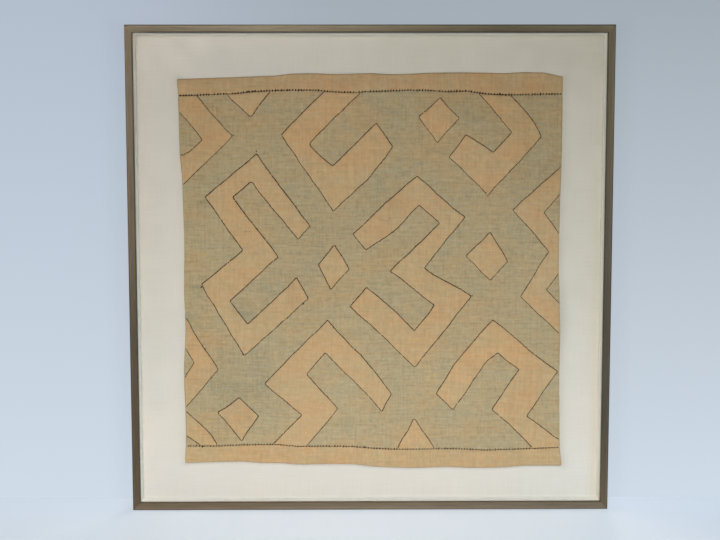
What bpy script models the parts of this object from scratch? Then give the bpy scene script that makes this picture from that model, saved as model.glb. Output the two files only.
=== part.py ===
"""Kuba raffia cloth, sewn to a linen-covered board in a slim wooden picture frame.

Metres, +Z up. The frame stands on its bottom rail and faces -Y, and the origin is under its middle.
The cloth lies in the frame's recess: a ground cloth, a border band above and below it, and patches
of lighter raffia sewn on the ground. Every cloth piece follows the same shallow ripples.
"""

import math

import bmesh
import bpy
from mathutils import Vector
from mathutils.geometry import delaunay_2d_cdt

MM = 0.001
GAP = 0.0003

# Frame
FRAME_WIDTH = 0.864
FRAME_HEIGHT = 0.870
FRAME_DEPTH = 0.045
FACE_WIDTH = 0.0125
RAIL_WALL = 0.0065
LIP_DEPTH = 0.009
OUTER_ARRIS = 0.0025
INNER_ARRIS = 0.0012
FACE_FALL = 0.0010
ARC_STEPS = 4

# Mount inside the frame, from the lip backwards
SPACER_DEPTH = 0.024
LINEN_THICKNESS = 0.001
BOARD_THICKNESS = 0.005

# Cloth
GROUND_THICKNESS = 0.0012
BAND_THICKNESS = 0.0016
PATCH_THICKNESS = 0.0010
PATCH_INSET = 0.0006
CORNER_CUT = 0.0035
CUT_STEP = 0.022
CUT_STRAY = 0.0007
CUT_WAVES = (0.083, 0.047)
CELL = 0.035
EDGE_STEP = 0.035
SHORTEST_EDGE = 0.0005
LIFT_HEIGHT = 0.035
LIFT = 0.0060

FRONT_Y = -FRAME_DEPTH / 2
LIP_BACK_Y = FRONT_Y + LIP_DEPTH
SPACER_BACK_Y = LIP_BACK_Y + GAP + SPACER_DEPTH
LINEN_FRONT_Y = SPACER_BACK_Y + GAP
BOARD_FRONT_Y = LINEN_FRONT_Y + LINEN_THICKNESS + GAP
GROUND_BACK_Y = LINEN_FRONT_Y - GAP
PATCH_BACK_Y = GROUND_BACK_Y - GROUND_THICKNESS - GAP

# Edges and seams of the cloth in millimetres: across from the middle, height above the floor
TOP_EDGE = (
    (-345, 779), (-270, 781), (-184, 784), (-125, 789), (-58, 787), (-3, 789), (42, 787),
    (125, 790), (198, 790), (231, 788), (267, 791), (313, 790), (346, 783),
)
TOP_SEAM = (
    (-345, 749), (-258, 752), (-182, 758), (-125, 759), (-84, 759), (-57, 754), (-21, 755),
    (15, 757), (85, 759), (139, 756), (177, 757), (204, 752), (231, 750), (346, 752),
)
BOTTOM_SEAM = (
    (-342, 111), (-279, 111), (-238, 113), (-177, 114), (-129, 110), (-44, 110), (0, 106),
    (52, 104), (151, 105), (216, 102), (273, 104), (352, 107),
)
BOTTOM_EDGE = (
    (-342, 80), (-283, 82), (-239, 83), (-213, 80), (-175, 80), (-130, 77), (-44, 78), (9, 73),
    (67, 70), (142, 72), (192, 70), (255, 71), (290, 74), (352, 74),
)

# Side edges of the cloth in millimetres: height above the floor, across from the middle
LEFT_EDGE = (
    (70, -341), (140, -339), (246, -341), (333, -337), (400, -339), (480, -337), (594, -339),
    (648, -343), (724, -344), (790, -346),
)
RIGHT_EDGE = (
    (70, 353), (120, 349), (246, 347), (310, 348), (377, 346), (450, 343), (569, 344), (637, 346),
    (790, 346),
)

# Ripples that stand forward of the mount, in millimetres: centre x, centre z, reach along x, reach
# along z, rise
RIPPLES = (
    (-255, 700, 110, 120, 1.4),
    (-60, 770, 90, 70, 1.2),
    (160, 720, 120, 110, 1.6),
    (290, 600, 90, 150, 1.2),
    (-160, 470, 140, 110, 1.5),
    (70, 480, 120, 130, 1.1),
    (250, 370, 110, 100, 1.4),
    (-270, 290, 100, 120, 1.6),
    (-40, 270, 120, 100, 1.0),
    (180, 190, 130, 90, 1.3),
    (-180, 130, 130, 70, 1.2),
)

# Patches. A row is one cut across the strip of raffia, in millimetres and degrees: the cut's middle
# x and z, its length, and the bearing from the strip's outer side to its inner side, counted
# anticlockwise from +X. Strips that run off the cloth are cut again by its seams and edges.
PATCHES = {
    "patch_top_left_chevron": (
        (-364, 769, 57, 192), (-305, 711, 43, 206), (-274, 675, 54, 186), (-305, 644, 34, 150),
        (-331, 623, 43, 107), (-365, 606, 101, 81),
    ),
    "patch_top_triangle": ((-224, 775, 112, 0), (-214, 713, 3, 0)),
    "patch_top_hook": (
        (-38, 768, 66, 0), (-135, 672, 52, -19), (-68, 583, 80, 91), (-21, 626, 63, 122),
        (27, 680, 51, 125),
    ),
    "patch_top_diamond": ((106, 728, 52, 42), (141, 688, 57, 49)),
    "patch_top_right_hook": (
        (206, 768, 52, 180), (258, 715, 57, 183), (283, 681, 54, 171), (217, 609, 77, 84),
        (158, 660, 50, 54),
    ),
    "patch_left_double_hook": (
        (-120, 504, 34, 229), (-210, 621, 48, 259), (-273, 568, 49, 0), (-198, 466, 64, -10),
        (-282, 394, 59, -30), (-227, 307, 58, 84), (-124, 402, 42, 121),
    ),
    "patch_centre_diamond": ((-80, 462, 47, 52), (-55, 419, 51, 47)),
    "patch_right_double_hook": (
        (-20, 486, 36, -49), (34, 530, 50, -64), (87, 580, 51, -85), (149, 526, 45, 192),
        (67, 436, 60, 184), (151, 379, 69, 194), (82, 291, 67, 91), (-21, 387, 47, 48),
    ),
    "patch_right_edge_hook": (
        (380, 635, 38, -90), (286, 541, 57, -6), (347, 467, 45, -5), (298, 393, 49, 14),
        (385, 306, 52, 90),
    ),
    "patch_right_diamond": ((196, 482, 62, 45), (235, 435, 48, 47)),
    "patch_left_chevron": (
        (-375, 380, 72, -90), (-326, 299, 35, 180), (-300, 260, 46, 163), (-375, 162, 41, 90),
    ),
    "patch_left_corner_arm": ((-375, 185, 59, -90), (-306, 125, 26, 221), (-275, 90, 19, 180)),
    "patch_lower_left_diamond": ((-261, 186, 47, 35), (-221, 144, 56, 55)),
    "patch_bottom_hook": (
        (30, 191, 36, 243), (-32, 264, 43, 221), (-80, 314, 58, 267), (-155, 236, 79, 12),
        (-93, 174, 69, 11), (-166, 92, 67, 0),
    ),
    "patch_bottom_triangle": ((87, 85, 95, 0), (81, 160, 3, 0)),
    "patch_bottom_right_hook": (
        (136, 193, 43, -46), (170, 244, 47, -47), (203, 289, 49, -70), (228, 314, 61, -82),
        (308, 250, 69, 175), (255, 172, 65, 168), (361, 86, 62, 193),
    ),
}


def make_material(name, colour, roughness, metallic=0.0):
    made = bpy.data.materials.new(name)
    made.use_nodes = True
    shader = made.node_tree.nodes["Principled BSDF"]
    shader.inputs["Base Color"].default_value = (*colour, 1.0)
    shader.inputs["Roughness"].default_value = roughness
    shader.inputs["Metallic"].default_value = metallic
    return made


def add_solid(name, vertices, faces, material):
    """One closed object from its points and faces, with every face pointing out."""
    mesh = bpy.data.meshes.new(name)
    mesh.from_pydata(vertices, [], faces)
    shape = bmesh.new()
    shape.from_mesh(mesh)
    bmesh.ops.recalc_face_normals(shape, faces=shape.faces)
    shape.to_mesh(mesh)
    shape.free()
    mesh.materials.append(material)
    made = bpy.data.objects.new(name, mesh)
    bpy.context.scene.collection.objects.link(made)
    return made


def arc(centre, radius, start, end):
    """Points of an arc in the section's plane, from one angle to another in degrees."""
    angles = [math.radians(start + (end - start) * k / ARC_STEPS) for k in range(ARC_STEPS + 1)]
    return [(centre[0] + radius * math.cos(a), centre[1] + radius * math.sin(a)) for a in angles]


def rail_section():
    """The rail's outline: distance in from the frame's outer side, and depth along Y."""
    outer = arc((OUTER_ARRIS, FRONT_Y + OUTER_ARRIS), OUTER_ARRIS, 180, 270)
    inner_y = FRONT_Y + FACE_FALL
    inner = arc((FACE_WIDTH - INNER_ARRIS, inner_y + INNER_ARRIS), INNER_ARRIS, 270, 360)
    back = [
        (FACE_WIDTH, LIP_BACK_Y),
        (RAIL_WALL, LIP_BACK_Y),
        (RAIL_WALL, -FRONT_Y),
        (0, -FRONT_Y),
    ]
    return outer + inner + back


def spacer_section():
    near, far = RAIL_WALL + GAP, FACE_WIDTH
    front, rear = LIP_BACK_Y + GAP, SPACER_BACK_Y
    return [(near, front), (far, front), (far, rear), (near, rear)]


def add_mitred_bar(name, section, side, material):
    """A bar along one side of the frame, its ends cut at 45 degrees with a hair's gap."""
    along_x = side in ("bottom", "top")
    reach = (FRAME_WIDTH if along_x else FRAME_HEIGHT) / 2
    across = (FRAME_HEIGHT if along_x else FRAME_WIDTH) / 2
    outward = -1 if side in ("bottom", "left") else 1
    setback = GAP / math.sqrt(2)
    vertices = []
    for end in (-1, 1):
        for inset, y in section:
            run = end * (reach - inset - setback)
            place = outward * (across - inset)
            x, z = (run, place) if along_x else (place, run)
            vertices.append((x, y, z + FRAME_HEIGHT / 2))
    count = len(section)
    faces = [tuple(range(count)), tuple(range(count, 2 * count))]
    for k in range(count):
        following = (k + 1) % count
        faces.append((k, following, count + following, count + k))
    return add_solid(name, vertices, faces, material)


def add_panel(name, front, thickness, material):
    """A flat panel that fills the frame from rail to rail."""
    reach = FRAME_WIDTH / 2 - RAIL_WALL - GAP
    low, high = RAIL_WALL + GAP, FRAME_HEIGHT - RAIL_WALL - GAP
    depths = (front, front + thickness)
    vertices = [(x, y, z) for y in depths for z in (low, high) for x in (-reach, reach)]
    faces = [(0, 1, 3, 2), (4, 5, 7, 6), (0, 1, 5, 4), (2, 3, 7, 6), (0, 2, 6, 4), (1, 3, 7, 5)]
    return add_solid(name, vertices, faces, material)


def smooth(rows, place):
    """The height of a gently curved edge at a place along it, from its table in millimetres."""
    rows = [(a * MM, b * MM) for a, b in rows]
    if place <= rows[0][0]:
        return rows[0][1]
    for (start, low), (end, high) in zip(rows, rows[1:]):
        if place <= end:
            share = (place - start) / (end - start)
            return low + (high - low) * share * share * (3 - 2 * share)
    return rows[-1][1]


def run_along(rows, start, end):
    """Points of a seam or edge from one x to another, close enough together to follow it."""
    count = math.ceil(abs(end - start) / EDGE_STEP)
    places = [start + (end - start) * k / count for k in range(count + 1)]
    return [(x, smooth(rows, x)) for x in places]


def strip_outline(lower, upper, inset_low=0.0, inset_high=0.0, inset_side=0.0):
    """The closed outline between two seams or edges, and between the cloth's side edges."""
    corners = []
    for rows in (lower, upper):
        for side, edge in ((-1, LEFT_EDGE), (1, RIGHT_EDGE)):
            height = smooth(rows, side * FRAME_WIDTH)
            corners.append(smooth(edge, height) - side * inset_side)
    bottom = [(x, z + inset_low) for x, z in run_along(lower, corners[0], corners[1])]
    top = [(x, z - inset_high) for x, z in run_along(upper, corners[3], corners[2])]
    right_side = side_points(RIGHT_EDGE, bottom[-1][1], top[0][1], -inset_side)
    left_side = side_points(LEFT_EDGE, top[-1][1], bottom[0][1], inset_side)
    return bottom + right_side + top + left_side


def side_points(rows, start, end, shift):
    """Points of a side edge between two heights, without the two corners themselves."""
    count = max(1, round(abs(end - start) / EDGE_STEP))
    heights = [start + (end - start) * k / count for k in range(1, count)]
    return [(smooth(rows, z) + shift, z) for z in heights]


def stray(point):
    """The point where the scissors really went, a hair off the line."""
    slow, fast = (2 * math.pi / length for length in CUT_WAVES)
    x, z = point
    aside = math.sin(slow * z + fast * x) + math.sin(fast * z - slow * x)
    up = math.sin(slow * x + fast * z) + math.sin(fast * x + slow * z)
    return x + aside * CUT_STRAY, z + up * CUT_STRAY


def patch_outline(rows):
    """A patch's outline: down the outer ends of its cuts, back up the inner ends, corners eased."""
    outer, inner = [], []
    for x, z, length, bearing in rows:
        turn = math.radians(bearing)
        reach = Vector((math.cos(turn), math.sin(turn))) * (length / 2 * MM)
        middle = Vector((x * MM, z * MM))
        outer.append(middle - reach)
        inner.append(middle + reach)
    corners = outer + inner[::-1]
    cut = []
    for start, end in zip(corners, corners[1:] + corners[:1]):
        run = end - start
        ease = min(CORNER_CUT, run.length / 3)
        count = max(1, round(run.length / CUT_STEP))
        for k in range(count + 1):
            along = ease + (run.length - 2 * ease) * k / count
            cut.append(stray(start + run.normalized() * along))
    return cut


def rise(x, z):
    """How far the cloth stands forward of the mount at a place: its ripples and its lifted hem."""
    total = 0.0
    for centre_x, centre_z, reach_x, reach_z, height in RIPPLES:
        distance = math.hypot((x / MM - centre_x) / reach_x, (z / MM - centre_z) / reach_z)
        if distance < 1:
            total += height * MM * math.cos(distance * math.pi / 2) ** 2
    above_hem = z - smooth(BOTTOM_EDGE, x)
    if above_hem < LIFT_HEIGHT:
        total += LIFT * (1 - max(above_hem, 0) / LIFT_HEIGHT) ** 2
    return total


def lattice_rise(x, z):
    """The same height read from a lattice of triangles, so that stacked pieces lie parallel."""
    column, row = math.floor(x / CELL), math.floor(z / CELL)
    share_x, share_z = x / CELL - column, z / CELL - row
    near = rise(column * CELL, row * CELL)
    far = rise((column + 1) * CELL, (row + 1) * CELL)
    if share_x > share_z:
        corner = rise((column + 1) * CELL, row * CELL)
        return near + (corner - near) * share_x + (far - corner) * share_z
    corner = rise(column * CELL, (row + 1) * CELL)
    return near + (corner - near) * share_z + (far - corner) * share_x


def lattice(loop):
    """The lattice's points and edges around an outline."""
    lows = [math.floor(min(p[axis] for p in loop) / CELL) for axis in (0, 1)]
    highs = [math.ceil(max(p[axis] for p in loop) / CELL) for axis in (0, 1)]
    index, points, edges = {}, [], []
    for column in range(lows[0], highs[0] + 1):
        for row in range(lows[1], highs[1] + 1):
            index[column, row] = len(points)
            points.append((column * CELL, row * CELL))
    for (column, row), start in index.items():
        for step_x, step_z in ((1, 0), (0, 1), (1, 1)):
            end = index.get((column + step_x, row + step_z))
            if end is not None:
                edges.append((start, end))
    return points, edges


def is_inside(point, loop):
    crossings = 0
    for (x1, z1), (x2, z2) in zip(loop, loop[1:] + loop[:1]):
        if (z1 > point[1]) != (z2 > point[1]):
            at = x1 + (point[1] - z1) / (z2 - z1) * (x2 - x1)
            crossings += at > point[0]
    return crossings % 2 == 1


def cut_flat(loops):
    """The cloth inside every outline, as flat triangles that follow the lattice."""
    points, edges = lattice(loops[0])
    for loop in loops:
        first = len(points)
        points += loop
        edges += [(first + k, first + (k + 1) % len(loop)) for k in range(len(loop))]
    made = delaunay_2d_cdt([Vector(p) for p in points], edges, [], 0, 1e-7)
    coords, faces = made[0], made[2]
    flat = bmesh.new()
    corners = [flat.verts.new((p.x, 0, p.y)) for p in coords]
    for face in faces:
        centre = sum((coords[k] for k in face), Vector((0, 0))) / 3
        if all(is_inside(centre, loop) for loop in loops):
            flat.faces.new([corners[k] for k in face])
    bmesh.ops.delete(flat, geom=[v for v in flat.verts if not v.link_faces], context="VERTS")
    bmesh.ops.dissolve_degenerate(flat, dist=SHORTEST_EDGE, edges=flat.edges[:])
    bmesh.ops.triangulate(flat, faces=flat.faces[:])
    return flat


def add_cloth(name, loops, back, thickness, material):
    """A sheet of cloth with the given outlines, its two faces parallel to the ripples."""
    flat = cut_flat(loops)
    flat.verts.index_update()
    heights = [lattice_rise(v.co.x, v.co.z) for v in flat.verts]
    count = len(heights)
    rear = [(v.co.x, back - h, v.co.z) for v, h in zip(flat.verts, heights)]
    front = [(x, y - thickness, z) for x, y, z in rear]
    faces = []
    for face in flat.faces:
        ring = [v.index for v in face.verts]
        faces += [ring, [count + k for k in reversed(ring)]]
    for edge in flat.edges:
        if edge.is_boundary:
            first, second = (v.index for v in edge.verts)
            faces.append([first, second, count + second, count + first])
    flat.free()
    return add_solid(name, rear + front, faces, material)


def main():
    for item in list(bpy.data.objects):
        bpy.data.objects.remove(item, do_unlink=True)

    wood = make_material("frame_wood", (0.13, 0.10, 0.065), 0.42)
    linen = make_material("linen", (0.58, 0.55, 0.47), 0.9)
    board = make_material("mount_board", (0.32, 0.25, 0.17), 0.85)
    olive = make_material("raffia_ground", (0.30, 0.26, 0.17), 0.9)
    tan = make_material("raffia_tan", (0.48, 0.32, 0.17), 0.85)

    for side in ("bottom", "right", "top", "left"):
        add_mitred_bar(f"rail_{side}", rail_section(), side, wood)
        add_mitred_bar(f"spacer_{side}", spacer_section(), side, linen)
    add_panel("linen_cover", LINEN_FRONT_Y, LINEN_THICKNESS, linen)
    add_panel("mount_board", BOARD_FRONT_Y, BOARD_THICKNESS, board)

    seam_gap = GAP / 2
    ground = strip_outline(BOTTOM_SEAM, TOP_SEAM, seam_gap, seam_gap)
    top_band = strip_outline(TOP_SEAM, TOP_EDGE, seam_gap)
    bottom_band = strip_outline(BOTTOM_EDGE, BOTTOM_SEAM, 0, seam_gap)
    add_cloth("ground_cloth", [ground], GROUND_BACK_Y, GROUND_THICKNESS, olive)
    add_cloth("border_top", [top_band], GROUND_BACK_Y, BAND_THICKNESS, tan)
    add_cloth("border_bottom", [bottom_band], GROUND_BACK_Y, BAND_THICKNESS, tan)

    patch_area = strip_outline(BOTTOM_SEAM, TOP_SEAM, PATCH_INSET, PATCH_INSET, PATCH_INSET)
    for name, rows in PATCHES.items():
        add_cloth(name, [patch_outline(rows), patch_area], PATCH_BACK_Y, PATCH_THICKNESS, tan)


main()
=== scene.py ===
"""The looks of a kuba raffia cloth on its linen mount, in a slim wooden picture frame.

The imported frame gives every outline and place. The cloth's sheets are redrawn here as fine, uneven
raffia with turned-in edges, each sewn edge gets its row of stitches, and the rails, the spacers and
the linen get softened edges and finishes of their own.
"""

import math

import bmesh
import bpy
import numpy as np
from mathutils import Matrix, Vector
from mathutils.bvhtree import BVHTree
from mathutils.geometry import delaunay_2d_cdt
from mathutils.kdtree import KDTree


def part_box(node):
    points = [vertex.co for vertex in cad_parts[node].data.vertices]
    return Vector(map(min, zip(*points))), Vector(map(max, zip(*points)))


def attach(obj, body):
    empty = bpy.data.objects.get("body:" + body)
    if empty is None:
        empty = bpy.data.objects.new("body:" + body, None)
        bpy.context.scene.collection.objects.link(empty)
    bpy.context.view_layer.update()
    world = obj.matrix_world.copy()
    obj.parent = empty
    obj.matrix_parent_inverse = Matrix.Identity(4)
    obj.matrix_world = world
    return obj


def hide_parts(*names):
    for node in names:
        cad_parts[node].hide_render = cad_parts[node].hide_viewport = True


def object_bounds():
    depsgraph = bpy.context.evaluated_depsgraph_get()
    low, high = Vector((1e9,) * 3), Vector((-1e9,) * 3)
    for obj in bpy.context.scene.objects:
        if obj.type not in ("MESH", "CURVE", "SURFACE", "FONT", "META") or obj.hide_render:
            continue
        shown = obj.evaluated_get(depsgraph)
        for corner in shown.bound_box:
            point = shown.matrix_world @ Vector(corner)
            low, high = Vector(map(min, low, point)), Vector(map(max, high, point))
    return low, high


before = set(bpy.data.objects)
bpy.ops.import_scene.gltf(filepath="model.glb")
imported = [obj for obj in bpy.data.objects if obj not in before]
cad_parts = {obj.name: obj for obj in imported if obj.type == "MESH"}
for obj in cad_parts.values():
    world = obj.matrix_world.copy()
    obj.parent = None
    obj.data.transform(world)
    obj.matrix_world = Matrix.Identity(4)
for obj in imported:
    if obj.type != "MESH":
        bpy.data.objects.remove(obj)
CAD_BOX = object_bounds()

MM = 0.001
BODY = "root"

# Camera, at the photograph's place: metres, degrees and millimetres of lens
CAMERA_PLACE = (-0.0279, -1.8035, 0.5754)
CAMERA_PITCH = 4.412
CAMERA_YAW = 0.296
CAMERA_ROLL = -0.065
CAMERA_LENS = 50.0
CAMERA_SENSOR = 36.0

# Stage
WALL_Y = 0.052
STAGE_REACH = 4.0
WALL_TOP_HEIGHT = 1.0
WALL_LOW = (0.630, 0.715, 0.800)
WALL_HIGH_LEFT = (0.440, 0.500, 0.600)
WALL_HIGH_RIGHT = (0.350, 0.395, 0.445)
FLOOR_COLOUR = (0.88, 0.90, 0.92)
FLOOR_DULL = (0.85, 0.87, 0.89)
# the floor's glow is painted light
FLOOR_GLOW = (0.20, 0.255, 0.315)
FLOOR_SIDE_GLOW = (0.30, 0.375, 0.455)
BACKDROP_PAINTED_SHADOW = 0.945
WORLD_COLOUR = (0.80, 0.87, 0.96)
WORLD_STRENGTH = 0.05

# Where the floor's painted light glows more, to the sides and towards the wall, and where the backdrop's
# painted shadow of the frame ends, beside and above the frame, in metres
FLOOR_GLOW_ASIDE = (0.38, 0.48)
FLOOR_GLOW_BACK = (-0.16, 0.0)
WALL_CLEAR_ASIDE = (0.449, 0.500)
WALL_CLEAR_ABOVE = (0.87, 0.90)

# Colours of the frame's wax and the painted shade on its lips, the mount board's plywood and loose raffia
WAX_DARK = (0.088, 0.066, 0.042)
WAX_LIGHT = (0.165, 0.129, 0.086)
WAX_FIGURE = (0.128, 0.108, 0.078)
WAX_WORN_AND_HIGHLIT = (0.280, 0.215, 0.135)
WAX_PAINTED_SHADE = (0.028, 0.021, 0.014)
BOARD_DARK = (0.330, 0.225, 0.125)
BOARD_LIGHT = (0.520, 0.385, 0.240)
FIBRE_DARK = (0.33, 0.22, 0.11)
FIBRE_LIGHT = (0.56, 0.42, 0.26)

# Studio lamps: name, place, aim, radius of the diffuser, width of the beam in degrees, watts, colour
LAMPS = (
    ("key_lamp", (-0.20, -3.10, 1.05), (-0.34, 0.0, -4.85), 0.42, 133.0, 735.0, (1.0, 0.985, 0.965)),
    ("low_lamp", (0.90, -1.50, 0.10), (0.15, 0.0, -0.35), 0.45, 80.0, 58.0, (0.36, 0.62, 1.0)),
    ("rear_lamp", (0.80, 2.90, 0.50), (0.0, 0.0, 0.45), 0.50, 50.0, 150.0, (1.0, 0.99, 0.97)),
)

# Layers of cloth in millimetres: how far the back and the front of the edge stand over the cloth's lie, and
# how much the front gains inside
GROUND_THICKNESS = 1.2
GROUND_LAYER = (0.0, 0.75, GROUND_THICKNESS - 0.75)
BAND_LAYER = (0.0, 0.6, 1.15)
PATCH_LAYER = (GROUND_THICKNESS + 0.06, GROUND_THICKNESS + 0.28, 0.95)

# Weaves in millimetres: the pitch of each plain weave, and the length and reach of the raffia's wobble
RAFFIA_PITCH = 1.15
LINEN_PITCH = 0.75
RAFFIA_WOBBLE = (28.0, 1.6)

# How far a patch's threads are turned at most, in degrees, and how far one rail's grain is set apart from
# the next, as a multiple of half the frame's width
PATCH_TURN = 5.0
GRAIN_SHIFT = 3.0

# How wide a turned-in edge is, and how far the cloth keeps from the linen, in millimetres
TURN_IN = 2.4
LINEN_CLEARANCE = 0.12

# Mesh steps, and the steps of redrawing an outline, in millimetres
OUTLINE_STEP = 1.6
GROUND_STEP = 3.0
BAND_STEP = 2.6
PATCH_STEP = 2.6
BACK_STEP = 9.0
LINEN_STEP = 9.0
WELD = 0.02
EDGE_RINGS = (0.35, 0.95, 1.8)
CORNER_CUT = 6.5
HAND_CUT = 0.16
HAND_CUT_WAVE = 7.0
OUTLINE_EASINGS = 2

# Shares of a step: the height of a row of the grid, and its clearance from an outline's inner rings, and
# the share of its inset that a ring keeps clear
ROW_HEIGHT = 0.87
GRID_CLEAR = 0.6
RING_CLEAR = 0.85

# Sines of a bend that is still straight and of one that makes a corner, and a front face's normal along y
STRAIGHT = 0.004
SHARP = 0.35
FRONT_FACING = -0.7

# The cloth's lie: the cell in millimetres of the table of heights, and its blur in cells
LIFT_CELL = 5.0
LIFT_BLUR = 2.2

# The sway of a crease as a share of its width, and uneven waves by their length and height in millimetres
CREASE_SWAY = 0.35
CRUMPLES = ((58, 0.20), (21, 0.13), (9, 0.06))
THREAD_WANDER = (90, 0.6)
LINEN_SWELL = (120, 0.04)

# Soft troughs and ridges in millimetres and degrees: centre x, centre z, half length, half width,
# bearing of its length from +X, height
CREASES = (
    (-150, 640, 150, 14, 82, 0.5),
    (60, 560, 170, 16, 95, -0.5),
    (210, 640, 130, 13, 78, 0.45),
    (-250, 480, 120, 15, 100, -0.4),
    (150, 330, 150, 15, 85, 0.5),
    (-90, 350, 140, 14, 96, -0.45),
    (300, 240, 120, 14, 88, 0.4),
    (-200, 200, 130, 15, 80, 0.5),
    (30, 690, 200, 12, 4, 0.35),
    (-40, 420, 230, 13, -3, -0.4),
    (120, 170, 210, 12, 2, 0.4),
    (0, 772, 60, 9, 88, 0.5),
    (-190, 95, 50, 9, 84, 0.6),
    (110, 88, 60, 10, 94, 0.6),
)

# Each kind of stitch, in millimetres and degrees: its pitch, its length, width and depth, its slant from
# its line, how far its middle rises over the ground cloth, how far it is shifted up, and the waves in
# which it is worn, each as a length, a size and a seed
STITCHES = {
    "rope": (2.3, (4.0, 1.68, 0.95), 12.0, 0.55, 0.0, ((70, 0.35, 51), (14, 0.25, 52))),
    "seam": (2.6, (3.6, 0.95, 0.70), 8.0, 0.25, 0.0, ((60, 0.35, 61), (13, 0.20, 62))),
    "whip": (5.2, (4.3, 2.30, 1.25), 78.0, 0.55, 0.4, ((45, 0.35, 63),)),
}

# How worn the sewing is, from 0 to 1, and how heavily each seam is sewn
PATCH_WEAR = 0.25
SEAM_WEAR = {"top": 0.1, "bottom": 0.55}
SEAM_WEIGHT = {"top": 1.0, "bottom": 0.75}

# How stitches differ: their place as a share of the pitch, slant in degrees, size and tone, and the share
# that is left out
PITCH_SPREAD = 0.12
SLANT_SPREAD = 5.0
STITCH_SPREAD = (0.70, 1.25)
TONE_SPREAD = 0.12
SKIPPED_STITCHES = 0.012

# What wear does to a stitch: how much narrower, flatter and paler it gets
WORN_NARROWER = 0.25
WORN_FLATTER = 0.20
WORN_PALER = 0.45
UNWORN_TONE = 0.215

# The spindle of a stitch: points round it and along it, and how far its ends taper and dip
STITCH_SIDES = 6
STITCH_RINGS = 5
STITCH_TAPER = 0.86
STITCH_ARCH = 0.35

# How near the ground cloth's outline a band is seamed to it, and a patch is cut and not sewn
SEAM_NEAR = 1.1
SIDE_REACH = 1.5

# Knots and loose ends: millimetres, shares and counts
KNOT_TURNS = 4
KNOT_STITCH = (1.9, 0.9, 0.8)
KNOT_SCATTER = 0.25
KNOT_RISE = 1.0
END_RADIUS = 0.38
END_TAPER = 0.6
END_RISE = 0.9
END_ARCH = 0.9
END_STEPS = 7
END_SIDES = 5

# How heavily each patch is sewn, where it isn't 1
SEWN_WEIGHT = {
    "patch_top_left_chevron": 0.80,
    "patch_top_triangle": 0.90,
    "patch_top_diamond": 0.80,
    "patch_top_right_hook": 0.86,
    "patch_left_double_hook": 1.08,
    "patch_right_double_hook": 1.06,
    "patch_right_edge_hook": 0.82,
    "patch_right_diamond": 0.90,
    "patch_left_chevron": 0.86,
    "patch_lower_left_diamond": 1.14,
}

# Heavier and lighter places of the sewing in millimetres: centre x, centre z, reach, change of weight
SEWN_CHANGES = (
    (-290, 500, 90, 0.35),
    (-190, 600, 60, 0.20),
    (-120, 640, 40, -0.15),
    (60, 520, 45, 0.15),
    (140, 400, 45, 0.18),
    (170, 600, 70, -0.12),
    (-250, 655, 40, -0.30),
    (-340, 753, 16, 0.60),
    (-208, 758, 24, 0.45),
    (-150, 760, 16, 0.50),
    (232, 752, 16, 0.70),
    (-65, 755, 14, -0.30),
    (130, 758, 14, -0.25),
    (265, 753, 14, -0.25),
    (-309, 111, 12, 0.60),
    (35, 104, 22, 0.25),
    (312, 105, 22, 0.30),
    (-330, 111, 8, -0.35),
    (110, 104, 16, -0.40),
    (-111, 109, 14, -0.25),
)

# Knots in the sewing thread in millimetres: centre x, centre z, size, shade from dark to worn
KNOTS = (
    (-302, 291, 1.6, 0.1),
    (-122, 374, 1.5, 0.0),
    (86, 756, 1.2, 0.5),
    (-246, 679, 1.2, 0.5),
    (-205, 650, 1.3, 0.3),
    (-219, 757, 1.5, 0.4),
    (-11, 108, 1.5, 0.1),
    (-309, 110, 1.5, 0.2),
    (-121, 758, 1.3, 0.2),
    (-307, 405, 1.5, 0.2),
    (232, 752, 1.6, 0.1),
    (186, 388, 1.2, 0.4),
    (35, 529, 1.3, 0.2),
)

# Loose raffia ends in millimetres and degrees: root x, root z, bearing, length, curl
LOOSE_ENDS = (
    (-205, 651, 105, 7.0, 2.2),
    (-204, 650, 70, 5.0, -1.5),
    (-206, 650, 140, 4.5, 1.2),
    (186, 389, 95, 6.0, 1.5),
    (187, 388, 60, 4.5, -1.2),
    (-54, 184, 10, 6.5, 3.0),
    (-51, 181, 200, 6.0, 2.6),
    (-121, 760, 60, 6.5, 3.4),
    (-119, 760, 120, 6.0, -3.2),
    (-314, 113, 80, 5.5, 2.0),
    (-204, 371, 30, 3.5, 0.8),
)

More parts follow.
